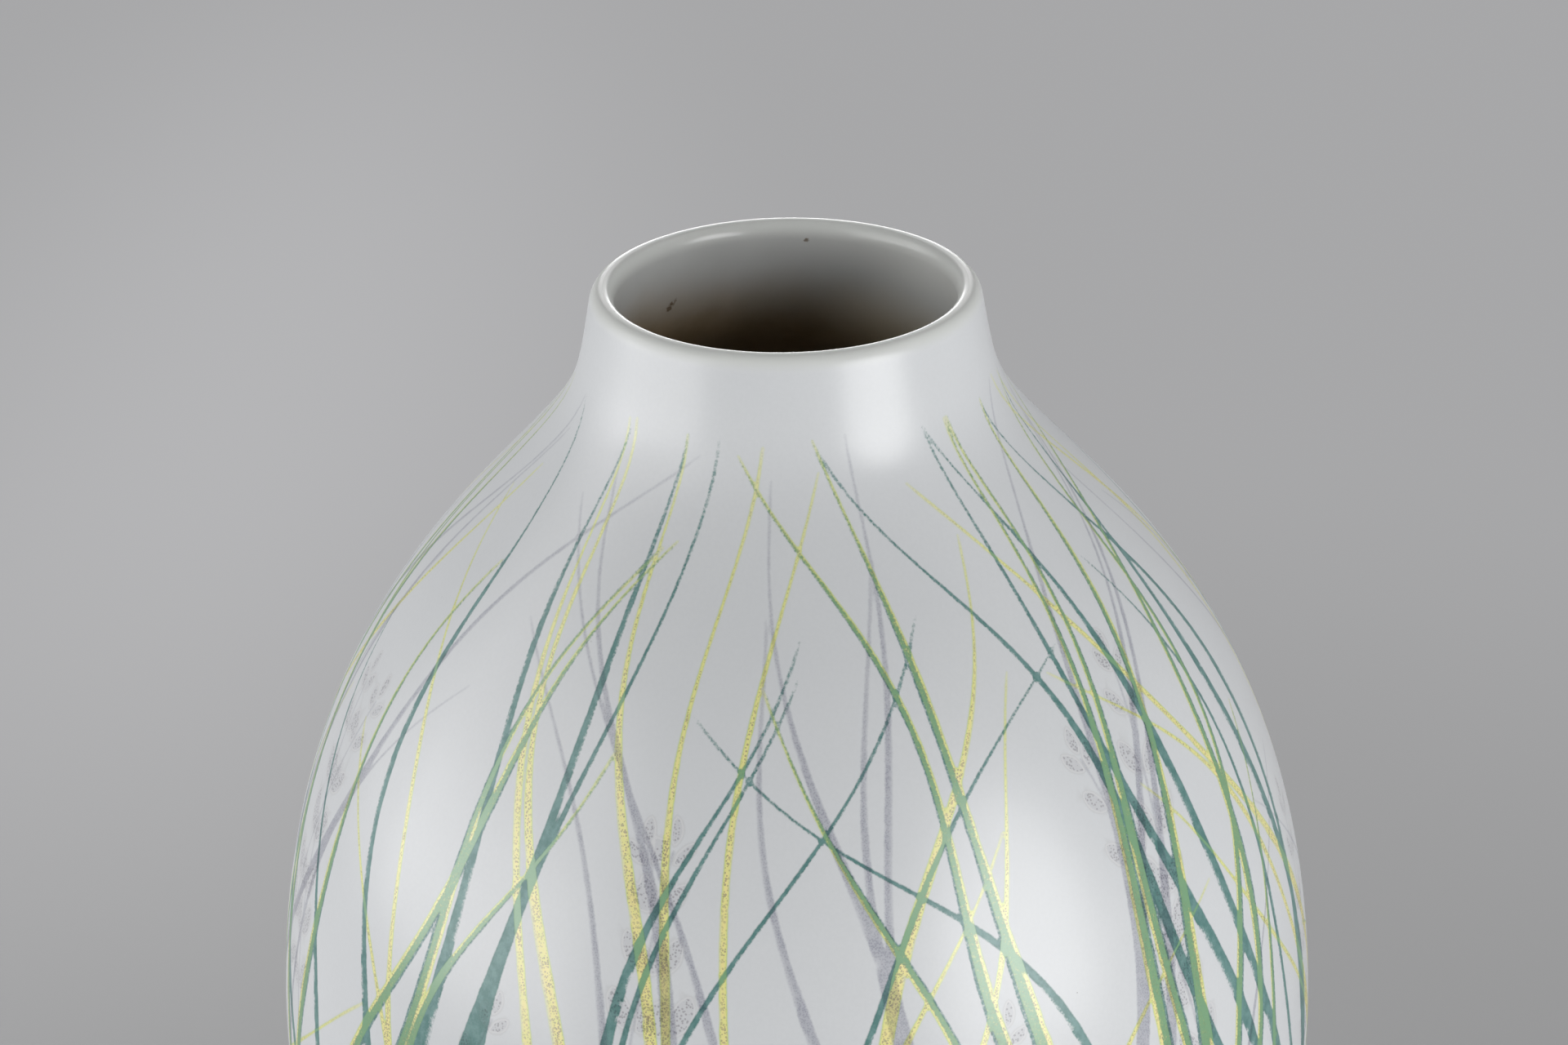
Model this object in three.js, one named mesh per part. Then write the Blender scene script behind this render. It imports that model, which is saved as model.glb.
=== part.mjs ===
// A tall porcelain floor vase: an egg-shaped body on a low foot ring, drawn in at the top to a short
// neck with a thick, softly rounded lip. A vase of this height is made in sections, which are luted
// together while the clay is leather-hard and fired as one, so each section is a piece of its own here
// and seats on the flat rim of the one below.
// Millimetres, +Z up. The origin is on the axis, on the ground under the foot ring.
import * as THREE from 'three';

// Driving sizes
const height = 600; // ground to the crest of the lip
const mouthRadius = 58; // inside the lip
const crestSetback = 3.7; // from the mouth's edge out to the crest of the lip
const lipDrop = 5; // how far below the crest the lip's rounding ends outside
const lipWall = 8.5; // wall at the lip
const bodyWall = 7; // wall of the belly and shoulder
const footWall = 11; // wall where the body meets the ground
const sweepRadius = 100.2; // outside, where the hollow of the neck turns over into the shoulder
const sweepDepth = 68.5; // below the crest
const bellyRadius = 186.2; // the widest line, outside
const bellyHeight = 318; // the widest line above the ground
const footRadius = 94; // outside, at the ground
const footWidth = 12; // ground face and both its rounded edges
const footEdge = 2; // rounding of the ground face's edges
const floorThickness = 11;
const floorDish = 4; // how far the floor's underside rises at the axis
const floorCorner = 30; // how far up the wall the inside corner of the floor reaches

// Seams between the sections
const footSeamHeight = 12; // foot ring to lower bowl, above the ground
const bowlSeamHeight = 170; // lower bowl to belly, above the ground
const shoulderSeamDepth = 200; // belly to shoulder, below the crest
const seamRoll = 1.2; // how proud the clay pressed along each seam stands inside
const seamRollReach = 9; // how far that clay reaches above and below its seam

// Leans of the outline from upright, positive where it draws in as it rises
const lipLean = THREE.MathUtils.degToRad(10.1);
const sweepLean = THREE.MathUtils.degToRad(42.8);
const bellyLean = 0;
const footLean = THREE.MathUtils.degToRad(-28);

// Fullness of each stretch of the outline: its two handles, as shares of the straight line between its ends
const lowerFullness = [0.3, 0.36];
const shoulderFullness = [0.543, 0.185];
const neckFullness = [0.602, 0.443];
const roundFullness = [0.39, 0.39]; // close to a quarter circle

// Facets
const turns = 64;
const bowlSteps = 8;
const bellySteps = 8;
const shoulderSteps = 9;
const neckSteps = 9;
const lipSteps = 4;
const cornerSteps = 4;
const edgeSteps = 3;
const dishSteps = 3;
const rollSteps = 2;
const halvings = 48; // of the search for a face's point at a height

const glaze = { color: 0xd6d9db, roughness: 0.3, metalness: 0 };
const bareClay = { color: 0xddd8cc, roughness: 0.75, metalness: 0 };

// Profile points are (radius, height).
const at = (radius, z) => new THREE.Vector2(radius, z);

// A direction along the outline, upwards, for a lean from upright
const rising = (lean) => at(-Math.sin(lean), Math.cos(lean));
const outwards = at(1, 0);
const inwards = at(-1, 0);

// One smooth stretch from start to end, which leaves and arrives along the given directions
function stretch(start, leaving, end, arriving, fullness) {
  const span = start.distanceTo(end);
  const first = start.clone().addScaledVector(leaving, fullness[0] * span);
  const second = end.clone().addScaledVector(arriving, -fullness[1] * span);
  return new THREE.CubicBezierCurve(start, first, second, end);
}

const lipRadius = mouthRadius + lipWall * Math.cos(lipLean);
const footPoint = at(footRadius, 0);
const bellyPoint = at(bellyRadius, bellyHeight);
const sweepPoint = at(sweepRadius, height - sweepDepth);
const lipPoint = at(lipRadius, height - lipDrop);
const crestPoint = at(mouthRadius + crestSetback, height);

// The outline rises in three stretches: foot to belly, belly to sweep, sweep to lip.
const outline = [
  stretch(footPoint, rising(footLean), bellyPoint, rising(bellyLean), lowerFullness),
  stretch(bellyPoint, rising(bellyLean), sweepPoint, rising(sweepLean), shoulderFullness),
  stretch(sweepPoint, rising(sweepLean), lipPoint, rising(lipLean), neckFullness),
];
const outlineEnd = outline.length;

// How much clay the seams' rolls add inside at this height
const seamHeights = [bowlSeamHeight, height - shoulderSeamDepth, height - sweepDepth];
function rollAt(z) {
  const nearest = Math.min(...seamHeights.map((seam) => Math.abs(z - seam)));
  const share = Math.min(nearest / seamRollReach, 1);
  return (seamRoll * (1 + Math.cos(Math.PI * share))) / 2;
}

// The wall is thickest at the foot, evens out in the belly and thickens again into the lip.
function wallAt(station) {
  const fromFoot = THREE.MathUtils.smoothstep(station, 0, 1);
  const intoLip = THREE.MathUtils.smoothstep(station, outlineEnd - 1, outlineEnd);
  return footWall + (bodyWall - footWall) * fromFoot + (lipWall - bodyWall) * intoLip;
}

// Points on the two faces of the wall, where station counts the stretches of the outline from the ground
function outerPoint(station) {
  const index = Math.min(Math.floor(station), outlineEnd - 1);
  return outline[index].getPoint(station - index);
}

function innerPoint(station) {
  const index = Math.min(Math.floor(station), outlineEnd - 1);
  const outer = outline[index].getPoint(station - index);
  const along = outline[index].getTangent(station - index);
  const wall = wallAt(station);
  const inner = at(outer.x - along.y * wall, outer.y + along.x * wall);
  inner.x -= rollAt(inner.y);
  return inner;
}

// The point of a rising face at a given height
function atHeight(face, z) {
  let low = 0;
  let high = outlineEnd;
  for (let halving = 0; halving < halvings; halving++) {
    const middle = (low + high) / 2;
    if (face(middle).y < z) low = middle;
    else high = middle;
  }
  return at(face((low + high) / 2).x, z);
}

// Points of a face between two heights, both ends included
function between(face, bottom, top, steps) {
  const points = [];
  for (let step = 0; step <= steps; step++) {
    points.push(atHeight(face, bottom + ((top - bottom) * step) / steps));
  }
  return points;
}

// Inner face between two heights, with closer points through the seam roll at either end
function innerFace(bottom, top, steps, rollBelow, rollAbove) {
  const low = rollBelow ? bottom + seamRollReach : bottom;
  const high = rollAbove ? top - seamRollReach : top;
  const points = between(innerPoint, low, high, steps);
  if (rollBelow) points.unshift(...between(innerPoint, bottom, low, rollSteps).slice(0, -1));
  if (rollAbove) points.push(...between(innerPoint, high, top, rollSteps).slice(1));
  return points;
}

// A section of the vase: a profile turned about the axis and stood upright
function turned(name, profile, finish) {
  const geometry = new THREE.LatheGeometry(profile, turns);
  geometry.rotateX(Math.PI / 2);
  const mesh = new THREE.Mesh(geometry, new THREE.MeshStandardMaterial(finish));
  mesh.name = name;
  return mesh;
}

// A profile that goes up the outer points, down the inner ones and closes on itself
function closed(outer, inner) {
  return [...outer, ...inner.reverse(), outer[0].clone()];
}

// The ring that the vase stands on, which carries the body's line down to a flat ground face
function footRing() {
  const innerRadius = footRadius - footWidth;
  const outerEdge = stretch(
    at(footRadius - footEdge, 0), outwards,
    atHeight(outerPoint, footEdge), rising(footLean), roundFullness,
  );
  const innerEdge = stretch(
    at(innerRadius, footEdge), rising(Math.PI),
    at(innerRadius + footEdge, 0), outwards, roundFullness,
  );
  const outer = [
    ...innerEdge.getPoints(edgeSteps),
    ...outerEdge.getPoints(edgeSteps),
    atHeight(outerPoint, footSeamHeight),
  ];
  return turned('foot_ring', closed(outer, [at(innerRadius, footSeamHeight)]), bareClay);
}

// The bowl-shaped bottom section, closed by the floor
function lowerBowl() {
  const floorTop = footSeamHeight + floorThickness;
  const cornerTop = atHeight(innerPoint, floorTop + floorCorner);
  const cornerStart = at(atHeight(innerPoint, floorTop).x - floorCorner, floorTop);
  const corner = stretch(cornerStart, outwards, cornerTop, rising(footLean), roundFullness);
  const dish = stretch(
    at(0, footSeamHeight + floorDish), outwards,
    at(footRadius - footWidth, footSeamHeight), outwards, roundFullness,
  );
  const wallInside = innerFace(cornerTop.y, bowlSeamHeight, bowlSteps, false, true);
  const profile = [
    ...dish.getPoints(dishSteps),
    ...between(outerPoint, footSeamHeight, bowlSeamHeight, bowlSteps),
    ...wallInside.reverse(),
    ...corner.getPoints(cornerSteps).reverse().slice(1),
    at(0, floorTop),
  ];
  return turned('lower_bowl', profile, glaze);
}

// A plain ring of wall between two seams
function band(name, bottom, top, steps) {
  const outer = between(outerPoint, bottom, top, steps);
  return turned(name, closed(outer, innerFace(bottom, top, steps, true, true)), glaze);
}

// The collar that sweeps up into the lip
function neck() {
  const seam = height - sweepDepth;
  const innerTop = innerPoint(outlineEnd);
  const outerRound = stretch(lipPoint, rising(lipLean), crestPoint, inwards, roundFullness);
  const innerRound = stretch(
    crestPoint, inwards, innerTop, rising(lipLean + Math.PI), roundFullness,
  );
  const outer = [
    ...between(outerPoint, seam, lipPoint.y, neckSteps),
    ...outerRound.getPoints(lipSteps).slice(1),
    ...innerRound.getPoints(lipSteps).slice(1, -1),
  ];
  return turned('neck', closed(outer, innerFace(seam, innerTop.y, neckSteps, true, false)), glaze);
}

const vase = new THREE.Group();
vase.name = 'floor_vase';
vase.add(
  footRing(),
  lowerBowl(),
  band('belly', bowlSeamHeight, height - shoulderSeamDepth, bellySteps),
  band('shoulder', height - shoulderSeamDepth, height - sweepDepth, shoulderSteps),
  neck(),
);

export default vase;
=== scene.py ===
# The looks of a tall porcelain floor vase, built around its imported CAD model: five sections that meet at
# level seams, with grass blades and seed stems painted on their glaze.
# Sizes are in millimetres until a mesh is made, and +Z is up.
import math
import random

import bpy
import numpy as np
from mathutils import Euler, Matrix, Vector
from mathutils.geometry import delaunay_2d_cdt


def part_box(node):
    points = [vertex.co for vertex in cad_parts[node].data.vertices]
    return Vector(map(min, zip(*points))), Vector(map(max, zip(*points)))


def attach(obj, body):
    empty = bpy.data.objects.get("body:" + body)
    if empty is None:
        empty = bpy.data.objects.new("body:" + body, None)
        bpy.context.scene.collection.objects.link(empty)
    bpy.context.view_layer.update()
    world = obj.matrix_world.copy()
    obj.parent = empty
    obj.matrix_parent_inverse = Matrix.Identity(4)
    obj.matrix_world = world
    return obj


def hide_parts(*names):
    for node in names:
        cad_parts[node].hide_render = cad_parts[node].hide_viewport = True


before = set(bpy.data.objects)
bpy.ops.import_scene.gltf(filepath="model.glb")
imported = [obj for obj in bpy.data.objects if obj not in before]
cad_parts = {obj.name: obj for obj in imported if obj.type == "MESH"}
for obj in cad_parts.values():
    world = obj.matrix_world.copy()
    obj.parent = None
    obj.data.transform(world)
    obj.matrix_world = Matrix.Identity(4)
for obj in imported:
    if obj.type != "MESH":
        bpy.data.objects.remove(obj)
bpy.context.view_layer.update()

MM = 0.001
TURN = 2 * math.pi


def node_box(name):
    """A CAD node's lowest and highest corner, in millimetres."""
    low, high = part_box(name)
    return np.array(low) / MM, np.array(high) / MM


# Heights of the seams, from the CAD sections that meet there
FOOT_SEAM = node_box("lower_bowl")[0][2]
BOWL_SEAM = node_box("belly")[0][2]
SHOULDER_SEAM = node_box("shoulder")[0][2]
NECK_SEAM = node_box("neck")[0][2]
HEIGHT = node_box("neck")[1][2]
BELLY_RADIUS = node_box("belly")[1][0]

# The rest of the CAD model's driving sizes
MOUTH_RADIUS = 58.0
CREST_SETBACK = 3.7
LIP_DROP = 5.0
LIP_WALL = 8.5
BODY_WALL = 7.0
FOOT_WALL = 11.0
SWEEP_RADIUS = 100.2
BELLY_HEIGHT = 318.0
FOOT_RADIUS = 94.0
FOOT_WIDTH = 12.0
FOOT_EDGE = 2.0
FLOOR_THICKNESS = 11.0
FLOOR_DISH = 4.0
FLOOR_CORNER = 30.0
SEAM_ROLL = 1.2
SEAM_ROLL_REACH = 9.0
LIP_LEAN = math.radians(10.1)
SWEEP_LEAN = math.radians(42.8)
BELLY_LEAN = 0.0
FOOT_LEAN = math.radians(-28)
LOWER_FULLNESS = (0.3, 0.36)
SHOULDER_FULLNESS = (0.543, 0.185)
NECK_FULLNESS = (0.602, 0.443)
ROUND_FULLNESS = (0.39, 0.39)


# Profiles: rows of (radius, height)

def rising(lean):
    return np.array((-math.sin(lean), math.cos(lean)))


OUTWARDS = np.array((1.0, 0.0))
INWARDS = -OUTWARDS


def stretch(start, leaving, end, arriving, fullness, steps):
    """Points and tangents of one smooth stretch, both ends included."""
    start, end = np.array(start, float), np.array(end, float)
    span = np.linalg.norm(end - start)
    first, second = start + leaving * fullness[0] * span, end - arriving * fullness[1] * span
    t = np.linspace(0, 1, steps + 1)[:, None]
    points = (1 - t) ** 3 * start + 3 * (1 - t) ** 2 * t * first + 3 * (1 - t) * t**2 * second + t**3 * end
    along = (1 - t) ** 2 * (first - start) + 2 * (1 - t) * t * (second - first) + t**2 * (end - second)
    return points, along / np.linalg.norm(along, axis=1)[:, None]


def smoothstep(x, low, high):
    t = np.clip((x - low) / (high - low), 0, 1)
    return t * t * (3 - 2 * t)


FINE = 400  # samples in each stretch of the outline
CREST = (MOUTH_RADIUS + CREST_SETBACK, HEIGHT)
LIP = (MOUTH_RADIUS + LIP_WALL * math.cos(LIP_LEAN), HEIGHT - LIP_DROP)
GROUND_EDGE = (FOOT_RADIUS, 0)
WIDEST = (BELLY_RADIUS, BELLY_HEIGHT)
SWEEP = (SWEEP_RADIUS, NECK_SEAM)
stretches = [
    stretch(GROUND_EDGE, rising(FOOT_LEAN), WIDEST, rising(BELLY_LEAN), LOWER_FULLNESS, FINE),
    stretch(WIDEST, rising(BELLY_LEAN), SWEEP, rising(SWEEP_LEAN), SHOULDER_FULLNESS, FINE),
    stretch(SWEEP, rising(SWEEP_LEAN), LIP, rising(LIP_LEAN), NECK_FULLNESS, FINE),
]
outer = np.concatenate([points[i > 0:] for i, (points, _) in enumerate(stretches)])
outer_along = np.concatenate([along[i > 0:] for i, (_, along) in enumerate(stretches)])
station = np.arange(len(outer)) / FINE
length = np.concatenate([[0], np.cumsum(np.linalg.norm(np.diff(outer, axis=0), axis=1))])

wall = (
    FOOT_WALL
    + (BODY_WALL - FOOT_WALL) * smoothstep(station, 0, 1)
    + (LIP_WALL - BODY_WALL) * smoothstep(station, 2, 3)
)
inner = outer + np.stack((-outer_along[:, 1], outer_along[:, 0]), 1) * wall[:, None]
to_seam = np.min([np.abs(inner[:, 1] - seam) for seam in (BOWL_SEAM, SHOULDER_SEAM, NECK_SEAM)], axis=0)
inner[:, 0] -= SEAM_ROLL * (1 + np.cos(math.pi * np.minimum(to_seam / SEAM_ROLL_REACH, 1))) / 2


def outer_radius(s):
    return np.interp(s, length, outer[:, 0])


def outer_height(s):
    return np.interp(s, length, outer[:, 1])


def outer_normal(s):
    """(outward, upward) parts of the outer face's normal."""
    return np.interp(s, length, outer_along[:, 1]), np.interp(s, length, -outer_along[:, 0])


def length_at(z):
    return float(np.interp(z, outer[:, 1], length))


def inner_at(z):
    return np.stack((np.interp(z, inner[:, 1], inner[:, 0]), np.asarray(z, float)), -1)


# The decor: brush strokes on the outer face, unrolled to (angle, length up the outline from the ground)

MARGIN = 0.9  # how far outside its edge a stroke's depth still counts down to nothing
FAMILIES = ("lilac", "yellow", "teal", "seed")
CLUMPS = 12
CLUMP_COLOURS = ("teal", "yellow", "lilac", "green")
BLADES = 11  # long blades in each clump
BLADE_STEP = 5.0  # between the points of a blade or stem
ROOT_SHARE = 0.32  # a blade's width at its root, as a share of its greatest
WIDEST_AT = 0.52  # how far up a blade is widest
TIP_HALF = 0.5  # half the width of a blade's tip
SWAY, WAVES = (0.12, 0.23), (1.6, 2.8)  # how far and how often a blade's heading swings
# Green's two layers: family, shift aside in half-widths, share of the width and strength
GREEN_LAYERS = (("yellow", -0.28, 0.95, 1), ("teal", 0.28, 0.9, 0.72))
LEAF_STEP = 1.4  # between the points of a leaf
LEAF_TIP_HALF = 0.25
LEAF_START = 1.7  # from a stem's middle to where its leaves start
FRONT = -math.pi / 2  # the angle that faces the camera
ROOT = length_at(26)  # about where the blades start
TOP_END = length_at(HEIGHT - 26)  # no blade reaches higher
rng = random.Random(11)
strokes = []


class Stroke:
    def __init__(self, family, path, half, strength):
        self.family = family
        self.path = np.array(path)
        self.half = np.array(half)
        self.strength = np.array(strength)


def walk(angle, s, heading, bends, steps, step):
    """A path that starts at a heading from straight up and turns by bends(t), with its local headings."""
    path, headings = [(angle, s)], []
    for i in range(steps):
        lean = heading + bends(i / steps)
        headings.append(lean)
        angle += math.sin(lean) * step / float(outer_radius(s))
        s += math.cos(lean) * step
        path.append((angle, s))
    headings.append(headings[-1])
    return path, headings


def blade_half(t, widest):
    """Half-width of a blade: from its root up to its widest place, then down to a fine tip."""
    up = ROOT_SHARE + (1 - ROOT_SHARE) * float(smoothstep(t, 0, WIDEST_AT))
    down = (1 - float(smoothstep(t, WIDEST_AT, 1.12)) ** 0.9) if t > WIDEST_AT else 1
    return max(widest * up * down, TIP_HALF)


def add_blade(colour, angle, s, heading, arch, reach, widest):
    """One grass blade, which leans further over as it rises."""
    steps = int(reach / BLADE_STEP)
    sway, phase, waves = rng.uniform(*SWAY), rng.uniform(0, TURN), rng.uniform(*WAVES)
    path, headings = walk(
        angle, s, heading,
        lambda t: arch * t**1.7 + sway * math.sin(phase + waves * TURN * t), steps, BLADE_STEP,
    )
    count = next((i for i, p in enumerate(path) if p[1] > TOP_END), len(path))
    path, headings = path[:count], headings[:count]
    beat, lull = rng.uniform(0, TURN), rng.uniform(2.5, 4.5)
    half, strength = [], []
    for i in range(count):
        t = i / (count - 1)
        press = 1 + 0.15 * math.sin(beat + lull * TURN * t) + rng.uniform(-0.07, 0.07)
        half.append(blade_half(t, widest) * press)
        # The brush runs dry towards the tip.
        strength.append(min(1, 0.5 + (1 - t) * 3.2, 0.25 + (1 - t) * count * BLADE_STEP / 22))
    if colour != "green":
        strokes.append(Stroke(colour, path, half, strength))
        return
    # Green is a yellow stroke with a teal one over it, drawn a little to one side.
    side = rng.choice((-1, 1))
    for family, shift, share, fade in GREEN_LAYERS:
        moved = [
            (
                a + side * shift * h * math.cos(lean) / float(outer_radius(z)),
                z - side * shift * h * math.sin(lean),
            )
            for (a, z), lean, h in zip(path, headings, half)
        ]
        strokes.append(Stroke(family, moved, np.array(half) * share, np.array(strength) * fade))


def add_leaf(angle, s, heading, reach, widest):
    """One small leaf, which bends back towards its stem."""
    steps = max(int(reach / LEAF_STEP), 4)
    path, _ = walk(angle, s, heading, lambda t: 0.35 * t * (1 if heading < 0 else -1), steps, reach / steps)
    half = [
        max(widest * math.sin(math.pi * min(i / steps * 0.97 + 0.015, 1)) ** 0.75, LEAF_TIP_HALF)
        for i in range(steps + 1)
    ]
    strokes.append(Stroke("seed", path, half, [1] * len(path)))


def add_seed_stem(angle, s, heading, arch, reach, pairs, leaf):
    """A thin stem with pairs of small leaves up its last third, and one at its tip."""
    steps = int(reach / BLADE_STEP)
    path, headings = walk(angle, s, heading, lambda t: arch * t * t, steps, BLADE_STEP)
    half = [max(1.0 * (1 - 0.55 * i / steps), 0.42) for i in range(steps + 1)]
    strokes.append(Stroke("lilac", path, half, [0.8 - 0.25 * i / steps for i in range(steps + 1)]))
    gap = leaf * 1.25
    for pair in range(pairs):
        at = max(steps - int((6 + pair * gap) / BLADE_STEP), 1)
        a, z = path[at]
        size = leaf * min(1, 0.62 + pair * 0.12)
        for side in (-1, 1):
            lean = headings[at] + side * (0.72 + rng.uniform(-0.08, 0.08))
            add_leaf(
                a + math.sin(lean) * LEAF_START / float(outer_radius(z)), z + math.cos(lean) * LEAF_START,
                lean, size * rng.uniform(0.92, 1.06), size * 0.26,
            )
    a, z = path[-1]
    add_leaf(a, z + 2, headings[-1], leaf * 0.62, leaf * 0.15)


def paint():
    """Clumps of blades evenly round the vase, with seed stems between them."""
    pitch = TURN / CLUMPS
    for clump in range(CLUMPS):
        middle = FRONT + (clump - 1.5) * pitch
        colour = CLUMP_COLOURS[clump % len(CLUMP_COLOURS)]
        for blade in range(BLADES):
            fan = 2 * blade / (BLADES - 1) - 1
            add_blade(
                colour,
                angle=middle + fan * 0.13 + rng.uniform(-0.02, 0.02),
                s=ROOT + rng.uniform(-5, 12) + 16 * abs(fan),
                heading=fan * 0.13 + rng.uniform(-0.05, 0.05),
                arch=fan * rng.uniform(0.3, 0.85) + rng.uniform(-0.12, 0.12),
                reach=rng.uniform(630, 750) - 180 * abs(fan) ** 1.4 - rng.choice((0, 0, 40, 90)),
                widest=rng.uniform(1.9, 3.2) * (1 - 0.2 * abs(fan)),
            )
        for short in (-1, 1):
            add_blade(
                colour,
                angle=middle + short * 0.2 + rng.uniform(-0.04, 0.04),
                s=ROOT + rng.uniform(0, 10),
                heading=short * 0.22,
                arch=short * rng.uniform(0.7, 1.1),
                reach=rng.uniform(340, 450),
                widest=rng.uniform(1.7, 2.5),
            )
        between = middle + pitch / 2
        side = 1 if clump % 2 else -1
        arch, reach = -side * rng.uniform(0.1, 0.3), rng.uniform(440, 500)
        add_seed_stem(between - 0.04 * side, ROOT + 10, -0.05 * side, arch, reach, pairs=7, leaf=15)
        if clump % 2:
            arch, reach = rng.uniform(0.15, 0.4), rng.uniform(380, 420)
            add_seed_stem(between + 0.07, ROOT + 14, 0.06, arch, reach, pairs=6, leaf=14)


paint()


def rows_of(stroke):
    """The stroke's middle and both edges of its margin, each with the points that cap its ends."""
    path, reach = stroke.path, stroke.half + MARGIN
    radius = outer_radius(path[:, 1])
    ahead = np.diff(path, axis=0)
    ahead = np.vstack((ahead[:1], ahead[1:] + ahead[:-1], ahead[-1:]))
    ahead = ahead * np.stack((radius, np.ones(len(radius))), 1)
    ahead /= np.linalg.norm(ahead, axis=1)[:, None]
    side = np.stack((-ahead[:, 1] / radius, ahead[:, 0]), 1)
    forward = np.stack((ahead[:, 0] / radius, ahead[:, 1]), 1)
    start, end = path[0] - forward[0] * reach[0], path[-1] + forward[-1] * reach[-1]
    for shift in (0, 1, -1):
        yield np.vstack((start, path + side * (reach * shift)[:, None], end))


def depths_at(points, beyond=0.0):
    """Looks the strokes up at points of the outer face.

    Gives each family's depth into its nearest stroke, up from 0 at the margin's edge, and that stroke's
    strength there. beyond widens every margin.
    """
    depth = np.zeros((len(points), len(FAMILIES)))
    strength = np.zeros_like(depth)
    order = np.argsort(points[:, 1], kind="stable")
    sorted_s = points[order, 1]
    for stroke in strokes:
        reach = stroke.half.max() + MARGIN + beyond + 1
        low, high = stroke.path[:, 1].min() - reach, stroke.path[:, 1].max() + reach
        rows = order[np.searchsorted(sorted_s, low):np.searchsorted(sorted_s, high)]
        turned = reach / min(float(outer_radius(low)), float(outer_radius(high)))
        for turn in (-TURN, 0, TURN):
            angle = points[rows, 0] + turn
            near = (angle > stroke.path[:, 0].min() - turned) & (angle < stroke.path[:, 0].max() + turned)
            ids = rows[near]
            if not len(ids):
                continue
            radius = outer_radius(points[ids, 1])
            x = (stroke.path[None, :, 0] - angle[near][:, None]) * radius[:, None]
            y = stroke.path[None, :, 1] - points[ids, 1][:, None]
            dx, dy = np.diff(x, axis=1), np.diff(y, axis=1)
            t = np.clip(-(x[:, :-1] * dx + y[:, :-1] * dy) / (dx * dx + dy * dy), 0, 1)
            away = np.hypot(x[:, :-1] + t * dx, y[:, :-1] + t * dy)
            half = stroke.half[:-1] + t * np.diff(stroke.half)
            inside = half + MARGIN + beyond - away
            best = inside.argmax(1)
            pick = np.arange(len(ids))
            value = inside[pick, best]
            bold = (stroke.strength[:-1] + t * np.diff(stroke.strength))[pick, best]
            family = FAMILIES.index(stroke.family)
            deeper = value > depth[ids, family]
            depth[ids[deeper], family] = value[deeper]
            strength[ids[deeper], family] = bold[deeper]
    return depth, strength


# The outer face, triangulated once over all sections, so that neighbours share their seams' points

COLUMNS = 240
ROW_STEP = 6.0
CLEAR = 1.3  # background points keep this far from every stroke's margin
FLAT_RADIUS = 150.0  # turns angles into millimetres while the face is triangulated
CUTS = 4  # upright lines at which the face's map may be cut
WELD = 1e-4  # points closer than this become one
NO_AREA = 1e-12


def outer_face():
    """(points, triangles) over (angle, length), from the foot seam to the lip's rounding."""
    levels = [length_at(z) for z in (FOOT_SEAM, BOWL_SEAM, SHOULDER_SEAM, NECK_SEAM)] + [length[-1]]
    rows = []
    for low, high in zip(levels, levels[1:]):
        rows += list(np.linspace(low, high, max(round((high - low) / ROW_STEP), 1), endpoint=False))
    rows.append(levels[-1])
    angles = np.linspace(0, TURN, COLUMNS + 1)
    grid = np.array([(a, s) for s in rows for a in angles])
    depth, _ = depths_at(grid, beyond=CLEAR)
    on_level = np.isin(grid[:, 1], levels)
    on_cut = np.tile(np.arange(COLUMNS + 1) % (COLUMNS // CUTS) == 0, len(rows))
    keep = (depth.max(1) <= 0) | on_level | on_cut
    ids = np.cumsum(keep) - 1
    points = list(map(tuple, grid[keep]))
    edges = []
    cell = ids.reshape(len(rows), COLUMNS + 1)
    for r, s in enumerate(rows):
        if s in levels:
            edges += [(cell[r, c], cell[r, c + 1]) for c in range(COLUMNS)]
    for c in range(0, COLUMNS + 1, COLUMNS // CUTS):
        edges += [(cell[r, c], cell[r + 1, c]) for r in range(len(rows) - 1)]

    def place(angle, s):
        points.append((angle, s))
        return len(points) - 1

    for stroke in strokes:
        for row in rows_of(stroke):
            turn = math.floor(row[0][0] / TURN)
            last = place(row[0][0] - turn * TURN, row[0][1])
            for (a0, s0), (a1, s1) in zip(row, row[1:]):
                next_turn = math.floor(a1 / TURN)
                if next_turn != turn:
                    border = max(turn, next_turn) * TURN
                    s = s0 + (s1 - s0) * (border - a0) / (a1 - a0)
                    right, left = place(TURN, s), place(0.0, s)
                    leave, enter = (right, left) if next_turn > turn else (left, right)
                    edges.append((last, leave))
                    last, turn = enter, next_turn
                here = place(a1 - turn * TURN, s1)
                edges.append((last, here))
                last = here
    flat = [Vector((a * FLAT_RADIUS, s)) for a, s in points]
    constraints = [(int(a), int(b)) for a, b in edges]
    found, _, triangles, _, _, _ = delaunay_2d_cdt(flat, constraints, [], 0, WELD, False)
    found = np.array([tuple(p) for p in found], float)
    found[:, 0] /= FLAT_RADIUS
    triangles = np.array(triangles)
    p = found[triangles]
    area = np.cross(p[:, 1] - p[:, 0], p[:, 2] - p[:, 0])
    triangles[area < 0] = triangles[area < 0][:, ::-1]
    return found, triangles[np.abs(area) > NO_AREA], levels


face_points, face_triangles, face_levels = outer_face()
face_depth, face_strength = depths_at(face_points)


# Closed sections. Areas of a piece's map are (left, bottom, right, top).

OUTSIDE, INSIDE = 0, 1  # a piece's two materials
ON_CUT = 1e-6  # how near a cut, as an angle, and a seam, in millimetres, a point of it is
ON_SEAM = 2e-3
STRIP_GAP = 0.012  # round each strip of a map, as a share of the strip
CORNERS = ((0, 0), (0, 1), (1, 1), (1, 0))  # of a four-sided face, as steps up and round


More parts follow.
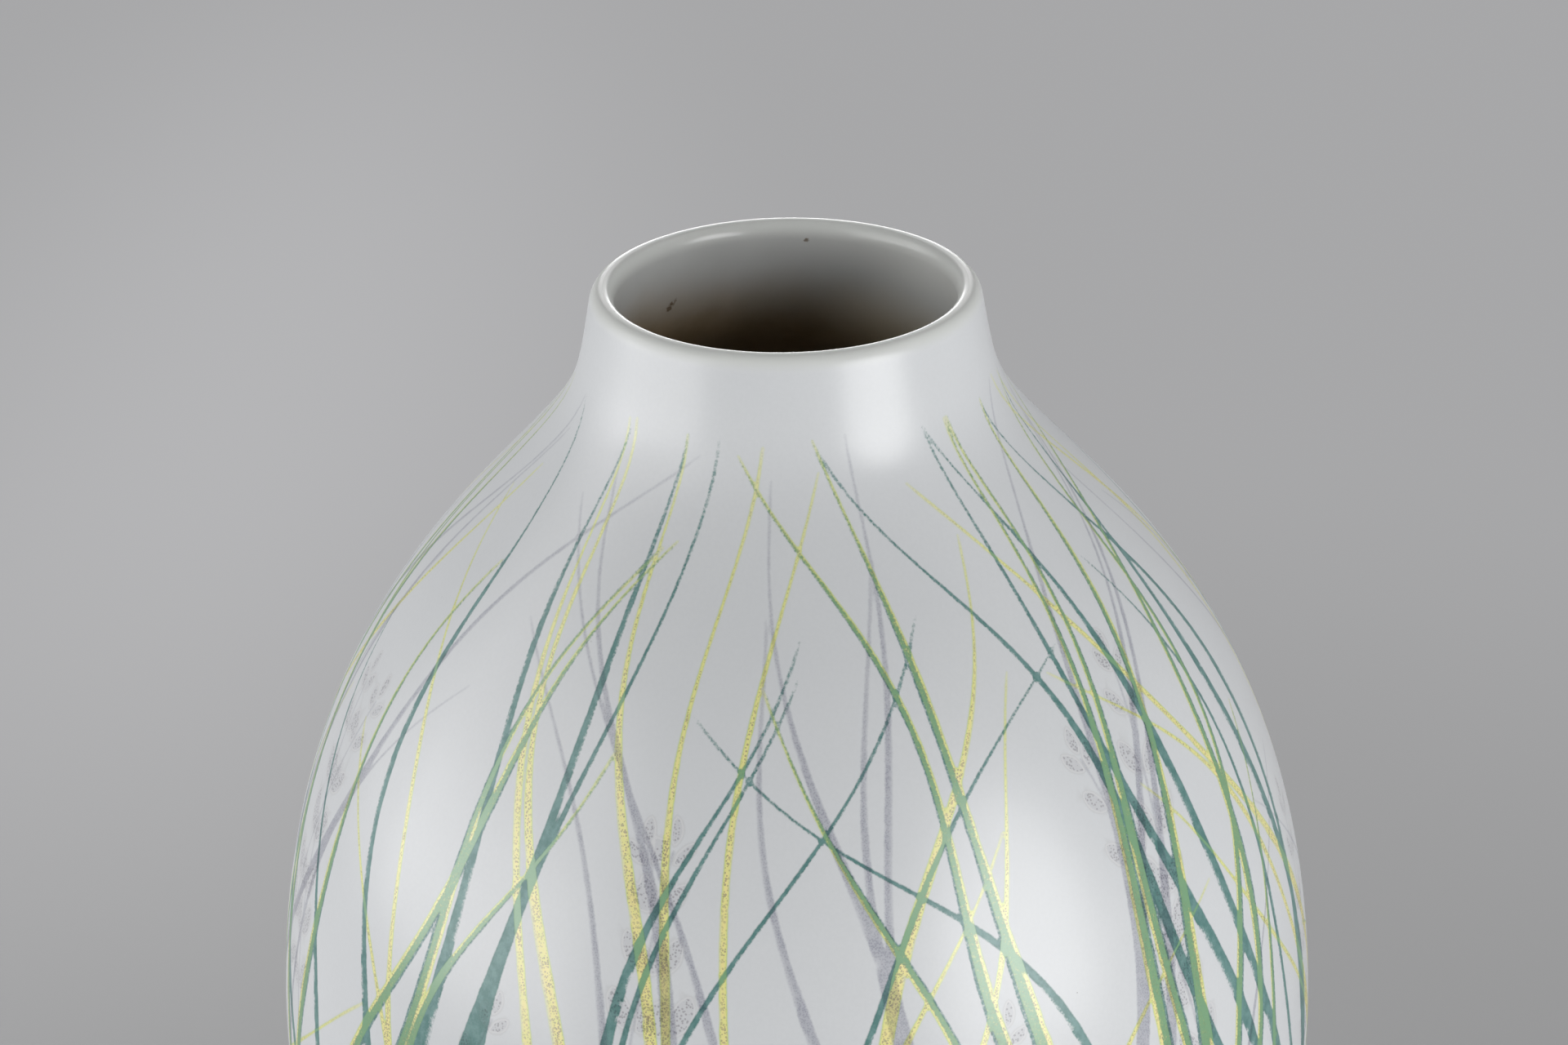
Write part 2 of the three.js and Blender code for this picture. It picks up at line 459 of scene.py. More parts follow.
class Section:
    """Gathers the points and faces of one closed piece, with a normal and a map place for every corner."""

    def __init__(self):
        self.points, self.depth, self.strength = [], [], []
        self.faces, self.normals, self.places, self.finish = [], [], [], []

    def point(self, radius, angle, z, depth=(0,) * 4, strength=(0,) * 4):
        self.points.append((radius * math.cos(angle) * MM, radius * math.sin(angle) * MM, z * MM))
        self.depth.append(depth)
        self.strength.append(strength)
        return len(self.points) - 1

    def face(self, ids, normals, places, finish):
        self.faces.append(ids)
        self.normals += normals
        self.places += places
        self.finish.append(finish)


def turned_normal(outward, upward, angle):
    return (outward * math.cos(angle), outward * math.sin(angle), upward)


def strip_places(area, strips, low, high):
    """Lays the face out in strips of a turn, (across, up) of them, inside an area of the map."""
    across, up = strips
    u0, v0, u1, v1 = area

    def place(angle, s, middle):
        strip = min(int(middle / TURN * across * up), across * up - 1)
        column, row = strip % across, strip // across
        share = angle / TURN * across * up - strip
        rise = (s - low) / (high - low)
        return (
            u0 + (column + STRIP_GAP + share * (1 - 2 * STRIP_GAP)) / across * (u1 - u0),
            v0 + (row + STRIP_GAP + rise * (1 - 2 * STRIP_GAP)) / up * (v1 - v0),
        )

    return place


def disc_place(area, largest):
    """Lays a level face out as it is seen from above, inside an area of the map."""
    u0, v0, u1, v1 = area
    middle = ((u0 + u1) / 2, (v0 + v1) / 2)

    def place(radius, angle):
        share = radius / largest / 2
        return (
            middle[0] + share * math.cos(angle) * (u1 - u0),
            middle[1] + share * math.sin(angle) * (v1 - v0),
        )

    return place


def add_outer(section, low, high, place):
    """The painted face between two lengths. Returns its lowest and highest ring as (ids, angles)."""
    middle = face_points[face_triangles].mean(1)
    mine = face_triangles[(middle[:, 1] > low) & (middle[:, 1] < high)]
    used = np.unique(mine)
    # The points at a whole turn are the ones at 0.
    start = sorted((i for i in used if abs(face_points[i][0]) < ON_CUT), key=lambda i: face_points[i][1])
    end = sorted((i for i in used if abs(face_points[i][0] - TURN) < ON_CUT), key=lambda i: face_points[i][1])
    if len(start) != len(end):
        raise ValueError("the unrolled face doesn't close on itself")
    same = dict(zip(end, start))
    ids, normals = {}, {}
    for i in used:
        if i in same:
            continue
        angle, s = face_points[i]
        ids[i] = section.point(
            float(outer_radius(s)), angle, float(outer_height(s)),
            tuple(face_depth[i]), tuple(face_strength[i]),
        )
        normals[i] = turned_normal(*(float(n) for n in outer_normal(s)), angle)
    for i, j in same.items():
        ids[i], normals[i] = ids[j], normals[j]
    for triangle in mine:
        centre = float(face_points[triangle][:, 0].mean())
        section.face(
            tuple(ids[i] for i in triangle),
            [normals[i] for i in triangle],
            [place(*face_points[i], centre) for i in triangle],
            OUTSIDE,
        )
    rings = []
    for level in (low, high):
        ring = [i for i in used if abs(face_points[i][1] - level) < ON_SEAM and i not in same]
        ring.sort(key=lambda i: face_points[i][0])
        rings.append(([ids[i] for i in ring], [float(face_points[i][0]) for i in ring]))
    return rings


def ring_of(section, radius, z, columns):
    angles = [TURN * c / columns for c in range(columns)]
    return [section.point(radius, a, z) for a in angles], angles


def profile_normals(profile):
    """Normals at the points of a smooth profile that keeps the clay on its left."""
    steps = np.diff(profile, axis=0)
    steps /= np.linalg.norm(steps, axis=1)[:, None]
    along = np.vstack((steps[:1], steps[1:] + steps[:-1], steps[-1:]))
    along /= np.linalg.norm(along, axis=1)[:, None]
    return np.stack((along[:, 1], -along[:, 0]), 1)


def add_turned(section, profile, columns, place, finish, first=None, normals=None):
    """A smooth turned face, which starts at the ring first if there is one. Returns its end rings."""
    normals = profile_normals(profile) if normals is None else normals
    run = np.concatenate([[0], np.cumsum(np.linalg.norm(np.diff(profile, axis=0), axis=1))])
    run /= run[-1]
    rings = [first] if first else []
    rings += [ring_of(section, r, z, columns) for r, z in profile[len(rings):]]
    angles = [TURN * c / columns for c in range(columns + 1)]
    for k in range(len(rings) - 1):
        (low, _), (high, _) = rings[k], rings[k + 1]
        for c in range(columns):
            d = (c + 1) % columns
            centre = (angles[c] + angles[c + 1]) / 2
            section.face(
                (low[c], low[d], high[d], high[c]),
                [turned_normal(*normals[k + up], angles[c + on]) for up, on in CORNERS],
                [place(angles[c + on], run[k + up], centre) for up, on in CORNERS],
                finish,
            )
    return rings[0], rings[-1]


def add_level_face(section, ids, place, up, finish):
    """One face that looks straight up or down."""
    spots = []
    for i in ids:
        x, y, _ = section.points[i]
        spots.append(place(math.hypot(x, y) / MM, math.atan2(y, x)))
    section.face(ids, [(0, 0, 1 if up else -1)] * len(ids), spots, finish)


def add_level(section, first, second, place, up, finish):
    """Joins two level rings that may have different points, from first to second."""
    (a_ids, a_at), (b_ids, b_at) = first, second
    j = k = 0
    while j < len(a_ids) or k < len(b_ids):
        a_next = a_at[j + 1] if j + 1 < len(a_ids) else TURN
        b_next = b_at[k + 1] if k + 1 < len(b_ids) else TURN
        a, b = a_ids[j % len(a_ids)], b_ids[k % len(b_ids)]
        if k >= len(b_ids) or (j < len(a_ids) and a_next <= b_next):
            j += 1
            ids = (a, a_ids[j % len(a_ids)], b)
        else:
            k += 1
            ids = (a, b_ids[k % len(b_ids)], b)
        add_level_face(section, ids, place, up, finish)


def add_cap(section, ring, z, place, up, finish):
    """Closes a level ring with a fan round the axis."""
    ids, _ = ring
    centre = section.point(0, 0, z)
    for c in range(len(ids)):
        pair = (ids[c], ids[(c + 1) % len(ids)])
        add_level_face(section, (*pair, centre) if up else (centre, *pair[::-1]), place, up, finish)


def made(name, section, materials):
    """The piece itself, with its map, its normals and the strokes' depths and strengths at its points."""
    mesh = bpy.data.meshes.new(name)
    mesh.from_pydata(section.points, [], section.faces)
    mesh.update()
    uv = mesh.uv_layers.new(name="OFBake")
    uv.data.foreach_set("uv", np.array(section.places, np.float32).ravel())
    for key, rows in (("pigment_depth", section.depth), ("pigment_strength", section.strength)):
        layer = mesh.attributes.new(key, "FLOAT_VECTOR", "POINT")
        layer.data.foreach_set("vector", np.array(rows, np.float32)[:, :3].ravel())
    seed = mesh.attributes.new("seed_depth", "FLOAT", "POINT")
    seed.data.foreach_set("value", np.array(section.depth, np.float32)[:, 3].ravel())
    mesh.polygons.foreach_set("material_index", np.array(section.finish, np.int32))
    mesh.polygons.foreach_set("use_smooth", np.ones(len(section.faces), bool))
    mesh.normals_split_custom_set(section.normals)
    for material in materials:
        mesh.materials.append(material)
    piece = bpy.data.objects.new(name, mesh)
    bpy.context.scene.collection.objects.link(piece)
    return piece


# Materials, in shader nodes. Lengths in them are in millimetres.

class Graph:
    """A short way to write shader nodes."""

    def __init__(self, name, world=None):
        self.material = world or bpy.data.materials.new(name)
        self.material.use_nodes = True
        self.tree = self.material.node_tree
        self.tree.nodes.clear()
        if world:
            return
        coordinates = self.node("ShaderNodeTexCoord")
        scaled = self.node("ShaderNodeVectorMath", operation="SCALE")
        self.tree.links.new(coordinates.outputs["Object"], scaled.inputs[0])
        scaled.inputs["Scale"].default_value = 1 / MM
        self.place = scaled.outputs[0]

    def node(self, kind, **settings):
        found = self.tree.nodes.new(kind)
        for key, value in settings.items():
            setattr(found, key, value)
        return found

    def put(self, socket, value):
        if isinstance(value, bpy.types.NodeSocket):
            self.tree.links.new(value, socket)
        elif isinstance(value, tuple) and len(value) == 3 and socket.type == "RGBA":
            socket.default_value = (*value, 1)
        else:
            socket.default_value = value

    def math(self, operation, *values):
        found = self.node("ShaderNodeMath", operation=operation)
        for socket, value in zip(found.inputs, values):
            self.put(socket, value)
        return found.outputs[0]

    def times(self, a, b):
        return self.math("MULTIPLY", a, b)

    def plus(self, a, b):
        return self.math("ADD", a, b)

    def ramp(self, value, low, high, to_low=0.0, to_high=1.0, smooth=True):
        found = self.node("ShaderNodeMapRange", interpolation_type="SMOOTHSTEP" if smooth else "LINEAR")
        keys = ("Value", "From Min", "From Max", "To Min", "To Max")
        for key, part in zip(keys, (value, low, high, to_low, to_high)):
            self.put(found.inputs[key], part)
        return found.outputs["Result"]

    def noise(self, size, detail=2.0, roughness=0.5):
        """Noise between 0 and 1, with spots about size across."""
        found = self.node("ShaderNodeTexNoise")
        self.put(found.inputs["Vector"], self.place)
        found.inputs["Scale"].default_value = 1 / size
        found.inputs["Detail"].default_value = detail
        found.inputs["Roughness"].default_value = roughness
        return found.outputs["Fac"]

    def swing(self, size, detail, roughness=0.5):
        """The same noise about 0."""
        return self.math("SUBTRACT", self.noise(size, detail, roughness), 0.5)

    def cells(self, size):
        """Distance to the nearest of many points about size apart, in cells, and that cell's colour."""
        found = self.node("ShaderNodeTexVoronoi")
        self.put(found.inputs["Vector"], self.place)
        found.inputs["Scale"].default_value = 1 / size
        return found.outputs["Distance"], found.outputs["Color"]

    def mix(self, share, a, b, blend="MIX"):
        found = self.node("ShaderNodeMix", data_type="RGBA", blend_type=blend, clamp_factor=True)
        self.put(found.inputs[0], share)
        self.put(found.inputs[6], a)
        self.put(found.inputs[7], b)
        return found.outputs[2]

    def attribute(self, name, output="Vector"):
        return self.node("ShaderNodeAttribute", attribute_name=name).outputs[output]

    def parts(self, vector):
        found = self.node("ShaderNodeSeparateXYZ")
        self.put(found.inputs[0], vector)
        return found.outputs

    def height(self):
        return self.parts(self.place)["Z"]

    def bump(self, height, distance):
        found = self.node("ShaderNodeBump")
        found.inputs["Distance"].default_value = distance * MM
        self.put(found.inputs["Height"], height)
        return found.outputs["Normal"]

    def output(self, shader):
        kind = "World" if isinstance(self.material, bpy.types.World) else "Material"
        self.put(self.node("ShaderNodeOutput" + kind).inputs["Surface"], shader.outputs[0])

    def finish(self, **sockets):
        shader = self.node("ShaderNodeBsdfPrincipled")
        for key, value in sockets.items():
            self.put(shader.inputs[key.replace("_", " ")], value)
        self.output(shader)
        return self.material


GLAZE_IOR = 1.5
ENAMEL_IOR = 1.75  # of the yellow, which takes a brighter highlight than the glaze round it

# Colours of the ground, then of the pigments, which the ground's are multiplied by. Where there are two,
# the surface wanders between them.
GROUND = (0.622, 0.637, 0.652), (0.640, 0.654, 0.667)
GROUND_GRAIN = (0.595, 0.610, 0.622)
# Painted light: the lip's grey-green tint, made lighter than the ground to lift the shade on its upward
# rounding
LIP_TINT_AND_PAINTED_LIGHT = (0.665, 0.68, 0.655)
PINHOLE = (0.16, 0.15, 0.13)
LEAF, LEAF_HALO, LEAF_SPECK = (0.87, 0.86, 0.87), (0.84, 0.83, 0.82), (0.60, 0.59, 0.61)
LEAF_RIM = (0.68, 0.68, 0.68)  # a colour of its own, laid over the ground
LILAC = (0.66, 0.66, 0.71), (0.49, 0.49, 0.56)
YELLOW = (1.16, 1.11, 0.42), (1.27, 1.11, 0.46)
YELLOW_FRINGE, YELLOW_SPECK = (0.82, 0.92, 0.76), (0.46, 0.43, 0.66)
TEAL = (0.23, 0.43, 0.40), (0.10, 0.275, 0.25)
GREEN = (0.29, 0.56, 0.30)


def painted_porcelain():
    """The outside: a white ground, and in it the pigments by their strokes' depths and strengths."""
    g = Graph("painted_porcelain")
    lilac_in, yellow_in, teal_in = g.parts(g.attribute("pigment_depth"))
    lilac_by, yellow_by, teal_by = g.parts(g.attribute("pigment_strength"))
    seed_in = g.attribute("seed_depth", "Fac")

    # White ground: a faint cloudiness, sparse dark pinholes, and over the lip a lighter grey-green, partly
    # the glaze's own tint and partly painted light that lifts the shade on the lip's upward rounding
    cloud = g.noise(60, 1, 0.4)
    ground = g.mix(g.ramp(cloud, 0.3, 0.7), *GROUND)
    grain = g.noise(1.3, 2)
    ground = g.mix(g.ramp(grain, 0.35, 0.65, 0, 0.25), ground, GROUND_GRAIN)
    ground = g.mix(g.ramp(g.height(), HEIGHT - 6, HEIGHT - 0.6), ground, LIP_TINT_AND_PAINTED_LIGHT)
    pin, pin_colour = g.cells(9)
    chosen = g.ramp(g.parts(pin_colour)["X"], 0.80, 0.82)
    pinhole = g.times(g.ramp(pin, 0.030, 0.018), chosen)
    ground = g.mix(g.times(pinhole, 0.6), ground, PINHOLE)

    wander = g.swing(2.6, 3, 0.6)
    fine = g.swing(0.9, 2, 0.6)

    def edge(depth, soft, rough, share):
        """How much of a stroke covers this place, with a soft and slightly ragged edge."""
        ragged = g.plus(g.times(wander, rough), g.times(fine, rough))
        return g.times(g.ramp(g.plus(depth, ragged), MARGIN - soft, MARGIN + soft), share)

    def dry(share):
        """A stroke's strength, broken into grains where the brush ran dry."""
        return g.ramp(g.plus(share, g.times(fine, 1.1)), 0.15, 0.85)

    def stained(under, share, strength, pigment):
        return g.mix(g.times(share, strength), under, pigment, "MULTIPLY")

    # Leaves of the seed stems: pale, with dark specks inside and a light rim
    leaf = edge(seed_in, 0.16, 0.35, 1.0)
    speck, _ = g.cells(0.95)
    inside = g.ramp(seed_in, MARGIN + 0.45, MARGIN + 0.8)
    specks = g.times(g.ramp(speck, 0.46, 0.30), inside)
    rim = g.times(leaf, g.ramp(seed_in, MARGIN + 0.75, MARGIN + 0.35))
    colour = stained(ground, leaf, 0.75, LEAF)
    colour = g.mix(g.times(rim, 0.5), colour, LEAF_RIM)
    halo = g.times(g.ramp(seed_in, MARGIN - 0.75, MARGIN - 0.2), g.math("SUBTRACT", 1.0, leaf))
    colour = stained(colour, halo, 0.5, LEAF_HALO)
    colour = stained(colour, specks, 0.85, LEAF_SPECK)

    # Lilac-grey: soft-edged and granular
    lilac = edge(lilac_in, 0.5, 0.5, lilac_by)
    dot, _ = g.cells(0.62)
    grains = g.ramp(dot, 0.62, 0.25)
    density = g.ramp(g.noise(7, 2), 0.3, 0.7, 0.78, 1.0)
    colour = stained(colour, lilac, density, g.mix(grains, *LILAC))

    # Yellow: bright, with a thin greenish edge, a warmer middle and violet-grey specks where it is wide
    yellow = edge(yellow_in, 0.2, 0.4, g.ramp(yellow_by, 0.0, 0.75, smooth=False))
    up_to_edge = g.ramp(yellow_in, MARGIN - 0.5, MARGIN)
    near_edge = g.times(up_to_edge, g.ramp(yellow_in, MARGIN + 0.55, MARGIN + 0.1))
    fringe = g.times(near_edge, yellow_by)
    colour = stained(colour, fringe, 0.9, YELLOW_FRINGE)
    core = g.ramp(yellow_in, MARGIN + 0.2, MARGIN + 1.2)
    warm = g.times(g.ramp(g.noise(4, 2), 0.3, 0.65), core)
    colour = g.mix(yellow, colour, g.mix(warm, *YELLOW), "MULTIPLY")
    dot, dot_colour = g.cells(0.76)
    size = g.ramp(g.parts(dot_colour)["Y"], 0.0, 1.0, 0.30, 0.56, smooth=False)
    dots = g.ramp(g.math("SUBTRACT", size, dot), -0.04, 0.05)
    wide = g.ramp(yellow_in, MARGIN + 0.1, MARGIN + 0.45)
    patches = g.ramp(g.noise(14, 2), 0.36, 0.56, 0.55, 1.0)
    dots = g.times(g.times(dots, wide), g.times(patches, yellow_by))
    colour = stained(colour, dots, 0.85, YELLOW_SPECK)

    # Teal: deep, darker along its edges and broken towards its tips
    teal = edge(teal_in, 0.34, 0.42, dry(teal_by))
    rim = g.ramp(teal_in, MARGIN + 0.7, MARGIN + 0.1, 0, 0.5)
    dark = g.plus(g.ramp(g.noise(3.5, 4, 0.65), 0.35, 0.65), rim)
    colour = g.mix(teal, colour, g.mix(g.times(dark, 0.75), *TEAL), "MULTIPLY")

    # Teal over yellow comes out a clear green
    green = g.mix(1.0, ground, GREEN, "MULTIPLY")
    colour = g.mix(g.times(g.times(teal, yellow), 0.9), colour, green)

    rough = g.ramp(g.noise(30, 3), 0.3, 0.7, 0.28, 0.31)
    relief = g.plus(g.noise(1.8, 1), g.times(g.noise(30, 0), 4.0))
    ior = g.ramp(yellow, 0, 1, GLAZE_IOR, ENAMEL_IOR, smooth=False)
    return g.finish(Base_Color=colour, Roughness=rough, IOR=ior, Normal=g.bump(relief, 0.008))


INSIDE_GROUND = (0.60, 0.61, 0.60), (0.55, 0.56, 0.55)
INSIDE_BROWN = (0.42, 0.31, 0.19), (0.36, 0.265, 0.155)
# Painted light: paler colours for the far right of the inside, standing in for the light that reaches further
# in there
PAINTED_LIGHT_RIGHT_GROUND, PAINTED_LIGHT_RIGHT_BROWN = (0.68, 0.69, 0.67), (0.84, 0.72, 0.52)  # at the far right of the inside
INSIDE_SPECK = (0.15, 0.10, 0.06)
# Dark specks inside the neck: where, and how far they reach
INSIDE_SPOTS = (
    ((-40.9, 47.0, 572.7), 1.1),
    ((-40.0, 47.6, 574.1), 0.7),
    ((-39.1, 48.1, 575.4), 0.6),
    ((7.6, 57.5, 593.5), 0.6),
)


def inside_glaze():
    """The inside: it turns darker, warm and brown with depth, and, as painted light, a little paler on the
    right, where the brown starts a little deeper.
    """
    g = Graph("inside_glaze")
    x, _, z = g.parts(g.place)
    # Painted light: towards the right the brown starts deeper and the colours turn paler
    tilted = g.plus(z, g.times(g.plus(x, 10), 0.1))
    wavy = g.plus(tilted, g.times(g.swing(28, 3), 10))
    colour = g.mix(g.ramp(g.noise(35, 3), 0.3, 0.7), *INSIDE_GROUND)
    brown = g.mix(g.ramp(g.noise(12, 3), 0.3, 0.7), *INSIDE_BROWN)
    brown = g.mix(g.ramp(x, 5, 45), brown, PAINTED_LIGHT_RIGHT_BROWN)
    colour = g.mix(g.ramp(x, 0, 50), colour, PAINTED_LIGHT_RIGHT_GROUND)
    colour = g.mix(g.ramp(wavy, HEIGHT - 13, HEIGHT - 46), colour, brown)
    # Painted light: the same lighter grey-green over the inner rounding of the lip, partly its tint and
    # partly lifting its shade
    colour = g.mix(g.ramp(g.height(), HEIGHT - 7, HEIGHT - 0.3), colour, LIP_TINT_AND_PAINTED_LIGHT)
    ragged = g.times(g.swing(1.1, 3), 2.4)
    for spot, radius in INSIDE_SPOTS:
        away = g.node("ShaderNodeVectorMath", operation="DISTANCE")
        g.put(away.inputs[0], g.place)
        g.put(away.inputs[1], spot)
        mark = g.ramp(g.plus(away.outputs["Value"], ragged), radius + 0.5, radius - 0.3)
        colour = g.mix(g.times(mark, 0.8), colour, INSIDE_SPECK)
    rough = g.ramp(g.noise(24, 3), 0.3, 0.7, 0.20, 0.26)
    return g.finish(Base_Color=colour, Roughness=rough, IOR=GLAZE_IOR, Normal=g.bump(g.noise(9, 2), 0.03))


CLAY, GRIT = ((0.66, 0.63, 0.56), (0.58, 0.545, 0.475)), (0.30, 0.25, 0.19)
FOOT_GROUND = (0.605, 0.622, 0.637), (0.645, 0.658, 0.672)
GLAZE_LINE = (0.47, 0.36, 0.25)


def bare_foot():
    """Glaze that ends just above the ground, with a thin brown line where it stops, and bare clay below."""
    g = Graph("bare_foot")
    height = g.plus(g.height(), g.times(g.swing(7, 3), 1.6))
    glazed = g.ramp(height, 3.1, 3.7)
    clay = g.mix(g.ramp(g.noise(1.2, 3), 0.35, 0.65), *CLAY)
    grit, grit_colour = g.cells(2.4)
    chosen = g.ramp(g.parts(grit_colour)["X"], 0.7, 0.75)
    clay = g.mix(g.times(g.ramp(grit, 0.16, 0.10), chosen), clay, GRIT)
    line = g.times(g.ramp(height, 2.4, 3.2), g.ramp(height, 4.4, 3.5))
    ground = g.mix(g.ramp(g.noise(42, 3, 0.55), 0.3, 0.7), *FOOT_GROUND)
    colour = g.mix(glazed, clay, ground)
    colour = g.mix(g.times(line, 0.55), colour, GLAZE_LINE)
    rough = g.ramp(glazed, 0, 1, 0.78, 0.32, smooth=False)
    relief = g.plus(g.noise(0.8, 3), g.times(glazed, 1.5))
    return g.finish(Base_Color=colour, Roughness=rough, IOR=GLAZE_IOR, Normal=g.bump(relief, 0.04))


painted, inside, foot = painted_porcelain(), inside_glaze(), bare_foot()
INNER_COLUMNS = 120
INNER_STEP = 6.0
ROLL_STEP = 1.5
FLOOR_RINGS = ((58, 120), (34, 60), (14, 30))  # radius and columns, from the wall inwards


def inner_rows(bottom, top, roll_below, roll_above):
    """Profile of the inner face, from top to bottom, with closer rows through the seams' rolls."""
    low = bottom + SEAM_ROLL_REACH if roll_below else bottom
    high = top - SEAM_ROLL_REACH if roll_above else top
    heights = list(np.linspace(low, high, round((high - low) / INNER_STEP) + 1))
    if roll_below:
        heights = list(np.arange(bottom, low - 0.1, ROLL_STEP)) + heights
    if roll_above:
        heights += list(np.arange(high, top + 0.1, ROLL_STEP))[1:]
    return inner_at(np.array(heights))[::-1]


def whole_turn(area):
    u0, v0, u1, v1 = area
    return lambda angle, run, centre: (u0 + angle / TURN * (u1 - u0), v0 + run * (v1 - v0))


def band(name, low_z, high_z, low, high):
    """A ring of wall between two seams."""
    section = Section()
    bottom, top = add_outer(section, low, high, strip_places((0, 0, 1, 0.82), (2, 2), low, high))
    rows = inner_rows(low_z, high_z, True, True)
    upper, lower = add_turned(section, rows, INNER_COLUMNS, whole_turn((0.005, 0.84, 0.86, 0.995)), INSIDE)
    add_level(section, top, upper, disc_place((0.875, 0.85, 0.995, 0.92), BELLY_RADIUS), True, INSIDE)
    add_level(section, lower, bottom, disc_place((0.875, 0.925, 0.995, 0.995), BELLY_RADIUS), False, INSIDE)
    return made(name, section, (painted, inside))


def neck_piece(name, low, high):
    """The collar, with its lip."""
    section = Section()
    bottom, top = add_outer(section, low, high, strip_places((0, 0, 1, 0.62), (1, 2), low, high))
    inner_top = inner[-1]
    outside, _ = stretch(LIP, rising(LIP_LEAN), CREST, INWARDS, ROUND_FULLNESS, steps=10)
    downwards = rising(LIP_LEAN + math.pi)
    inward, _ = stretch(CREST, INWARDS, inner_top, downwards, ROUND_FULLNESS, steps=12)
    normals = profile_normals(outside)
    normals[0] = [float(n) for n in outer_normal(high)]
    normals[-1] = (0, 1)
    _, crest = add_turned(
        section, outside, COLUMNS, whole_turn((0.005, 0.64, 0.995, 0.71)), OUTSIDE, top, normals,
    )
    rows = np.vstack((inward, inner_rows(NECK_SEAM, inner_top[1], True, False)[1:]))
    normals = profile_normals(rows)
    normals[0] = (0, 1)
    _, lower = add_turned(
        section, rows, COLUMNS, whole_turn((0.005, 0.73, 0.86, 0.995)), INSIDE, crest, normals,
    )
    add_level(section, lower, bottom, disc_place((0.875, 0.8, 0.995, 0.92), SWEEP_RADIUS), False, INSIDE)
    return made(name, section, (painted, inside))


def bowl_piece(name, low, high):
    """The bottom section, with the vase's floor."""
    section = Section()
    bottom, top = add_outer(section, low, high, strip_places((0, 0, 1, 0.70), (2, 2), low, high))
    floor_top = FOOT_SEAM + FLOOR_THICKNESS
    corner_top = inner_at(floor_top + FLOOR_CORNER)
    corner_start = (inner_at(floor_top)[0] - FLOOR_CORNER, floor_top)
    corner, _ = stretch(corner_start, OUTWARDS, corner_top, rising(FOOT_LEAN), ROUND_FULLNESS, steps=8)
    wall_rows = inner_rows(corner_top[1], BOWL_SEAM, False, True)
    rows = np.vstack((wall_rows, corner[::-1][1:]))
    normals = profile_normals(rows)
    normals[-1] = (0, 1)
    upper, lower = add_turned(
        section, rows, INNER_COLUMNS, whole_turn((0.005, 0.72, 0.6, 0.995)), INSIDE, normals=normals,
    )
    add_level(section, top, upper, disc_place((0.6, 0.9, 0.7, 0.99), BELLY_RADIUS), True, INSIDE)
    floor_map = disc_place((0.8, 0.72, 0.995, 0.86), FOOT_RADIUS)
    nearer = lower
    for radius, columns in FLOOR_RINGS:
        ring = ring_of(section, radius, floor_top, columns)
        add_level(section, nearer, ring, floor_map, True, INSIDE)
        nearer = ring
    add_cap(section, nearer, floor_top, floor_map, True, INSIDE)

    # The underside, dished so that only the foot ring meets the ground
    seat = FOOT_RADIUS - FOOT_WIDTH
    dish_top = FOOT_SEAM + FLOOR_DISH
    dish, _ = stretch((0, dish_top), OUTWARDS, (seat, FOOT_SEAM), OUTWARDS, ROUND_FULLNESS, steps=14)
    under_map = disc_place((0.8, 0.87, 0.995, 0.995), FOOT_RADIUS + FOOT_WIDTH)

    def under_place(angle, run, centre):
        return under_map(run * seat, angle)

    normals = profile_normals(dish)
    normals[0] = normals[-1] = (0, -1)
    inner_ring, rim = add_turned(
        section, dish[2:], INNER_COLUMNS, under_place, OUTSIDE, normals=normals[2:],
    )
    add_cap(section, inner_ring, dish_top, under_map, False, OUTSIDE)
    add_level(section, rim, bottom, under_map, False, OUTSIDE)
    return made(name, section, (painted, inside))


def foot_piece(name):
    """The ring that the vase stands on."""
    section = Section()
    seat = FOOT_RADIUS - FOOT_WIDTH
    outer_start = (float(np.interp(FOOT_EDGE, outer[:, 1], outer[:, 0])), FOOT_EDGE)
    inner_edge, _ = stretch(
        (seat, FOOT_EDGE), rising(math.pi), (seat + FOOT_EDGE, 0), OUTWARDS, ROUND_FULLNESS, steps=5,
    )
    outer_edge, _ = stretch(
        (FOOT_RADIUS - FOOT_EDGE, 0), OUTWARDS, outer_start, rising(FOOT_LEAN), ROUND_FULLNESS, steps=5,
    )
    heights = np.linspace(FOOT_EDGE, FOOT_SEAM, 5)[1:]
    side = np.stack((np.interp(heights, outer[:, 1], outer[:, 0]), heights), 1)
    inside_wall = np.array([(seat, z) for z in np.linspace(FOOT_SEAM, FOOT_EDGE, 4)])
    profile = np.vstack((inside_wall[:-1], inner_edge, outer_edge, side))
    normals = profile_normals(profile)
    ground_start = len(inside_wall) - 1 + len(inner_edge) - 1
    normals[ground_start] = normals[ground_start + 1] = (0, -1)
    normals[-1] = [float(n) for n in outer_normal(length_at(FOOT_SEAM))]
    first, last = add_turned(
        section, profile, COLUMNS, whole_turn((0.005, 0.005, 0.995, 0.7)), OUTSIDE, normals=normals,
    )
    seam_map = disc_place((0.7, 0.72, 0.99, 0.99), FOOT_RADIUS + FOOT_WIDTH)
    add_level(section, last, first, seam_map, True, OUTSIDE)
    return made(name, section, (foot,))


pieces = {
    "foot_ring": foot_piece("vase_foot"),
    "lower_bowl": bowl_piece("vase_bowl", face_levels[0], face_levels[1]),
    "belly": band("vase_belly", BOWL_SEAM, SHOULDER_SEAM, face_levels[1], face_levels[2]),
    "shoulder": band("vase_shoulder", SHOULDER_SEAM, NECK_SEAM, face_levels[2], face_levels[3]),
    "neck": neck_piece("vase_neck", face_levels[3], face_levels[4]),
}
for node, piece in pieces.items():
    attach(piece, "root")
    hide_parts(node)


# Stage, where the floor's marks are in millimetres, and its size, the lamps and the camera in metres

